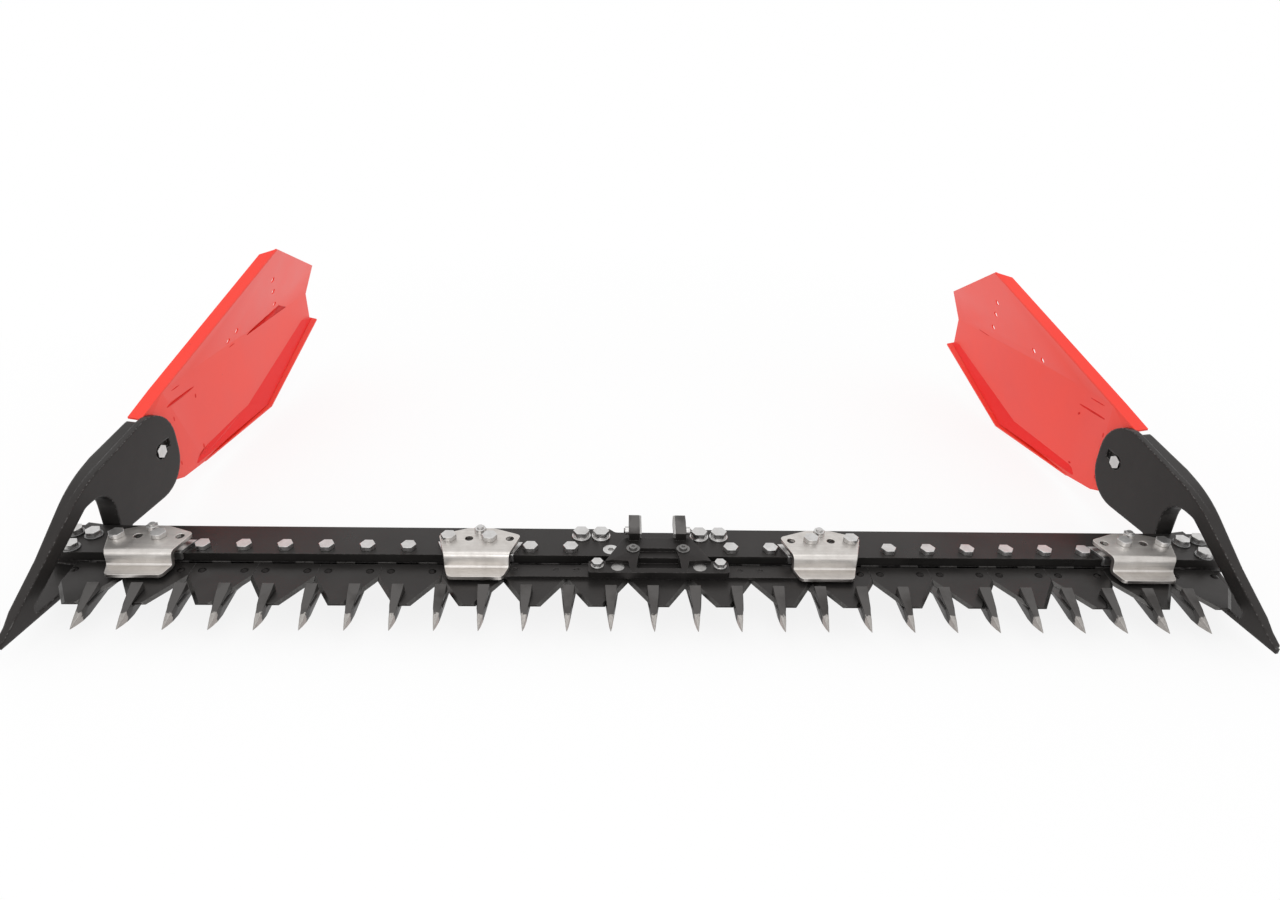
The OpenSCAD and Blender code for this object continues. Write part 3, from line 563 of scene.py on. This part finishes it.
def add_section(shape, centre):
    """One section: its outline drawn up to its thickness, with the slanted sides and the tip ground back."""
    half = SECTION_PITCH / 2.0 - SECTION_GAP
    outline = ((-half, SECTION_REAR), (-half, SECTION_NOTCH), (-SECTION_TIP_HALF, SECTION_TIP),
               (SECTION_TIP_HALF, SECTION_TIP), (half, SECTION_NOTCH), (half, SECTION_REAR))
    base = shape.faces.new([shape.verts.new((centre + x, y, SECTION_LOW)) for x, y in outline])
    tops = corners_of(bmesh.ops.extrude_face_region(shape, geom=[base])["geom"])
    bmesh.ops.translate(shape, vec=(0.0, 0.0, SECTION_TOP - SECTION_LOW), verts=tops)
    for corner in tops:
        if abs(corner.co.y - SECTION_NOTCH) < NEAR:
            corner.co.y += GROUND_NOTCH
        elif abs(corner.co.y - SECTION_TIP) < NEAR:
            corner.co.x -= math.copysign(GROUND_TIP, corner.co.x - centre)


def make_sections():
    shape = bmesh.new()
    for place_in_row in range(-SECTIONS_EACH_SIDE, SECTIONS_EACH_SIDE + 1):
        add_section(shape, KNIFE_SHIFT + place_in_row * SECTION_PITCH)
    for side in (-1.0, 1.0):
        end = (KNIFE_SHIFT + side * KNIFE_END, 0.0, 0.0)
        bmesh.ops.bisect_plane(shape, geom=everything(shape), plane_co=end, plane_no=(side, 0.0, 0.0),
                               clear_outer=True)
    bmesh.ops.holes_fill(shape, edges=[edge for edge in shape.edges if edge.is_boundary])
    bmesh.ops.recalc_face_normals(shape, faces=shape.faces)
    for face in shape.faces:
        ground = face.normal.y < -0.05 and face.normal.z > 0.2
        face.material_index = 1 if ground else 0
    bmesh.ops.scale(shape, vec=(MM, MM, MM), verts=shape.verts)
    piece = new_piece("ground_sections", shape, [FINISHES["knife_steel"], GROUND_EDGE])
    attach(piece, "knife")
    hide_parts("knife_sections")
    break_edges(piece, width=0.3, segments=1, angle=40.0)


make_sections()


# Marks and folds of the boards, placed in millimetres by depth and height on their inner face

def board_seat(side):
    """A function that finds the point and the normal at a depth and a height on one board's inner face."""
    mesh = frame["nodes"]["board_" + side].data
    corners = [corner.co for corner in mesh.vertices]
    sheet = BVHTree.FromPolygons(corners, [face.vertices for face in mesh.polygons])
    outward = Vector((-1.0 if side == "left" else 1.0, 0.0, 0.0))

    def seat(depth, height):
        return sheet.ray_cast(Vector((0.0, depth * MM, height * MM)), outward)[:2]

    return seat


# Half sizes of a pip, from its face outwards, along and up, and half the height of a line
PIP_HALF, LINE_RISE = (0.4, 1.7, 3.6), 0.5
# How deep a wedge is seated, and its thickness
WEDGE_SEAT, WEDGE_THICKNESS = 0.3, 0.7
# Pips by their middle, lines by their ends and width, wedges by their corners
BOARD_MARKS = {
    "left": {"pips": ((245.0, 87.8), (176.7, 84.5), (245.0, 5.1), (167.8, 19.1)),
             "lines": (((159.3, 108.5), (244.9, 102.5), 3.4), ((184.4, 124.2), (207.5, 122.4), 1.6),
                       ((356.7, 117.3), (375.6, 117.1), 1.4)),
             "wedges": (((416.8, 114.2), (565.1, 107.9), (526.7, 124.9)),)},
    "right": {"pips": ((240.8, 80.7), (169.3, 81.4), (237.0, -2.4), (159.4, 18.0)),
              "lines": (((150.6, 106.5), (245.2, 94.7), 3.4), ((183.7, 121.0), (221.5, 116.3), 1.6),
                        ((532.2, 88.3), (570.6, 86.3), 1.6)),
              "wedges": ()},
}


def add_lens(shape, middle, turn, half_sizes, subdivisions):
    """A rounded mark with its half sizes, turned and moved to its middle."""
    mark = bmesh.ops.create_icosphere(shape, subdivisions=subdivisions, radius=1.0)["verts"]
    bmesh.ops.scale(shape, vec=half_sizes, verts=mark)
    bmesh.ops.rotate(shape, cent=(0.0, 0.0, 0.0), verts=mark, matrix=turn)
    bmesh.ops.translate(shape, vec=middle, verts=mark)


def make_board_marks(side, marks):
    """Pips, lines and wedges that the press left, seated on the inner face of one board, in a darker red that
    is painted shade.
    """
    seat = board_seat(side)
    shape = bmesh.new()
    for spot in marks["pips"]:
        found, normal = seat(*spot)
        turn = Vector((1.0, 0.0, 0.0)).rotation_difference(normal).to_matrix()
        add_lens(shape, found, turn, Vector(PIP_HALF) * MM, subdivisions=2)
    for start, end, width in marks["lines"]:
        (first, normal), (last, _) = seat(*start), seat(*end)
        length = (last - first).length
        along = (last - first).normalized()
        turn = Matrix((normal, along, normal.cross(along))).transposed()
        half_sizes = (LINE_RISE * MM, length / 2.0, width / 2.0 * MM)
        add_lens(shape, (first + last) / 2.0, turn, half_sizes, subdivisions=3)
    for corners in marks["wedges"]:
        seats = [seat(*spot) for spot in corners]
        normal = seats[-1][1]
        wedge = shape.faces.new([shape.verts.new(found - WEDGE_SEAT * MM * normal) for found, _ in seats])
        raised = bmesh.ops.extrude_face_region(shape, geom=[wedge])["geom"]
        bmesh.ops.translate(shape, vec=WEDGE_THICKNESS * MM * normal, verts=corners_of(raised))
    bmesh.ops.recalc_face_normals(shape, faces=shape.faces)
    piece = new_piece("press_marks_in_shade_" + side, shape, [SHADED_MARK_RED])
    piece.data.shade_smooth()
    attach(piece, "board_" + side)


for side, marks in BOARD_MARKS.items():
    make_board_marks(side, marks)

# Slanted fold above a board's lower lip, from its rear end to its front end: where its crease lies on
# the sheet, and its foot on the lip
BOARD_FOLDS = {
    "left": (((618.5, 61.8), (-610.9, 659.2, 52.2)), ((388.0, 3.1), (-635.3, 444.9, -23.4)),
             ((259.0, 2.5), (-662.2, 216.0, -9.0))),
    "right": (((632.9, 31.0), (611.2, 657.8, 24.1)), ((404.5, -16.4), (636.4, 439.9, -40.2)),
              ((236.0, -4.7), (663.2, 220.0, -15.0))),
}
# How deep the crease and the hidden inner corner are sunk in the sheet, and that corner's place from the foot
CREASE_SUNK, CORNER_SUNK, CORNER_AHEAD, CORNER_ABOVE = 0.3, 1.0, 6.0, 4.0


def make_lower_fold(side, stations):
    """A long three-sided strip in the corner between one board's sheet and its lower lip."""
    seat = board_seat(side)

    def sunk(depth, height, below):
        found, normal = seat(depth, height)
        return found - below * MM * normal

    shape = bmesh.new()
    rings = []
    for crease, foot in stations:
        hidden = sunk(foot[1] - CORNER_AHEAD, foot[2] + CORNER_ABOVE, CORNER_SUNK)
        corners = [shape.verts.new(spot) for spot in (sunk(*crease, CREASE_SUNK), Vector(foot) * MM, hidden)]
        rings.append([shape.edges.new((corners[number - 1], corners[number])) for number in range(3)])
    for first, second in zip(rings, rings[1:]):
        bmesh.ops.bridge_loops(shape, edges=first + second)
    bmesh.ops.holes_fill(shape, edges=[edge for edge in shape.edges if edge.is_boundary])
    bmesh.ops.recalc_face_normals(shape, faces=shape.faces)
    # The strip is coloured with the red painted as shade
    piece = new_piece("lower_fold_" + side, shape, [SHADED_FOLD_RED])
    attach(piece, "board_" + side)


for side, stations in BOARD_FOLDS.items():
    make_lower_fold(side, stations)


# Floor, background, lights and camera

WHITE, PAPER = (1.0, 1.0, 1.0, 1.0), (0.88, 0.88, 0.88, 1.0)
# Half the side of the floor and its gap under the soles, in metres
FLOOR_HALF, FLOOR_GAP = 40.0, 0.0005
# Distances in metres between which the floor fades to plain white, and how white it is near the object
FADE_FROM, FADE_TO, NEAR_WHITE = 0.7, 1.5, 0.84
# Strength of the white surroundings as light on the object
ROOM_LIGHT = 0.95


def seen_by_eye(tree):
    """1 for rays that the eye sees, straight, in gloss or through glass, and 0 for rays that only light."""
    path = node(tree, "LightPath").outputs
    mirrored = maths(tree, "MAXIMUM", path["Is Glossy Ray"], path["Is Transmission Ray"])
    return maths(tree, "MAXIMUM", path["Is Camera Ray"], mirrored)


def set_floor():
    """White paper that keeps the object's shadow near it and fades to plain white further off."""
    material = bpy.data.materials.new("floor white")
    material.use_nodes = True
    tree = material.node_tree
    tree.nodes.clear()
    away = node(tree, "VectorMath", {0: place(tree)}, operation="LENGTH").outputs["Value"]
    fade = span(tree, away, FADE_FROM, FADE_TO, NEAR_WHITE, 1.0)
    plain = maths(tree, "MULTIPLY", seen_by_eye(tree), fade)
    paper = node(tree, "BsdfDiffuse", {"Color": PAPER}).outputs[0]
    white = node(tree, "Emission", {"Color": WHITE, "Strength": 1.0}).outputs[0]
    mixed = node(tree, "MixShader", {0: plain, 1: paper, 2: white}).outputs[0]
    node(tree, "OutputMaterial", {"Surface": mixed})
    shape = bmesh.new()
    bmesh.ops.create_grid(shape, x_segments=1, y_segments=1, size=FLOOR_HALF)
    bmesh.ops.translate(shape, vec=(0.0, 0.0, SOLE_Z * MM - FLOOR_GAP), verts=shape.verts)
    floor = new_piece("floor", shape, [material])


def set_world():
    """Even white light, a little lower on the object than to the eye."""
    world = bpy.data.worlds.new("studio")
    scene.world = world
    world.use_nodes = True
    tree = world.node_tree
    tree.nodes.clear()
    level = span(tree, seen_by_eye(tree), 0.0, 1.0, ROOM_LIGHT, 1.0)
    sky = node(tree, "Background", {"Color": WHITE, "Strength": level}).outputs[0]
    node(tree, "OutputWorld", {"Surface": sky})


def add_lamp(name, place_at, look_at, size, power):
    lamp = bpy.data.lights.new(name, "AREA")
    lamp.shape = "RECTANGLE"
    lamp.size, lamp.size_y = size
    lamp.energy = power
    holder = bpy.data.objects.new(name, lamp)
    holder.location = place_at
    holder.rotation_euler = (Vector(look_at) - Vector(place_at)).to_track_quat("-Z", "Y").to_euler()
    scene.collection.objects.link(holder)


# The camera found from the photo's finger bolts, tips and rivets: its place in millimetres, its angles
# and its focal length in pixels of the photo
CAMERA_AT = Vector((-61.729, -993.817, 689.477))
TILT, YAW, ROLL = math.radians(28.8636), math.radians(2.5865), math.radians(-1.9205)
FOCAL_PX, PHOTO_WIDTH, SENSOR_WIDTH = 924.3, 1280.0, 36.0


def set_camera():
    ahead = Vector((math.sin(YAW) * math.cos(TILT), math.cos(YAW) * math.cos(TILT), -math.sin(TILT)))
    right = Vector((math.cos(YAW), -math.sin(YAW), 0.0))
    down = ahead.cross(right)
    across = math.cos(ROLL) * right + math.sin(ROLL) * down
    below = -math.sin(ROLL) * right + math.cos(ROLL) * down
    turn = Matrix((across, -below, -ahead)).transposed().to_4x4()
    data = bpy.data.cameras.new("photo camera")
    data.sensor_fit = "HORIZONTAL"
    data.sensor_width = SENSOR_WIDTH
    data.lens = FOCAL_PX / PHOTO_WIDTH * SENSOR_WIDTH
    data.clip_start, data.clip_end = 0.05, 60.0
    camera = bpy.data.objects.new("photo camera", data)
    camera.matrix_world = Matrix.Translation(CAMERA_AT * MM) @ turn
    scene.collection.objects.link(camera)
    scene.camera = camera


set_floor()
set_world()
add_lamp("overhead", (-0.1, -0.25, 2.4), look_at=(0.0, 0.05, 0.0), size=(1.9, 1.5), power=8.0)
add_lamp("front fill", (-0.6, -2.6, 1.5), look_at=(0.0, 0.0, 0.05), size=(2.2, 1.2), power=14.0)
set_camera()
scene.view_settings.view_transform = "Standard"
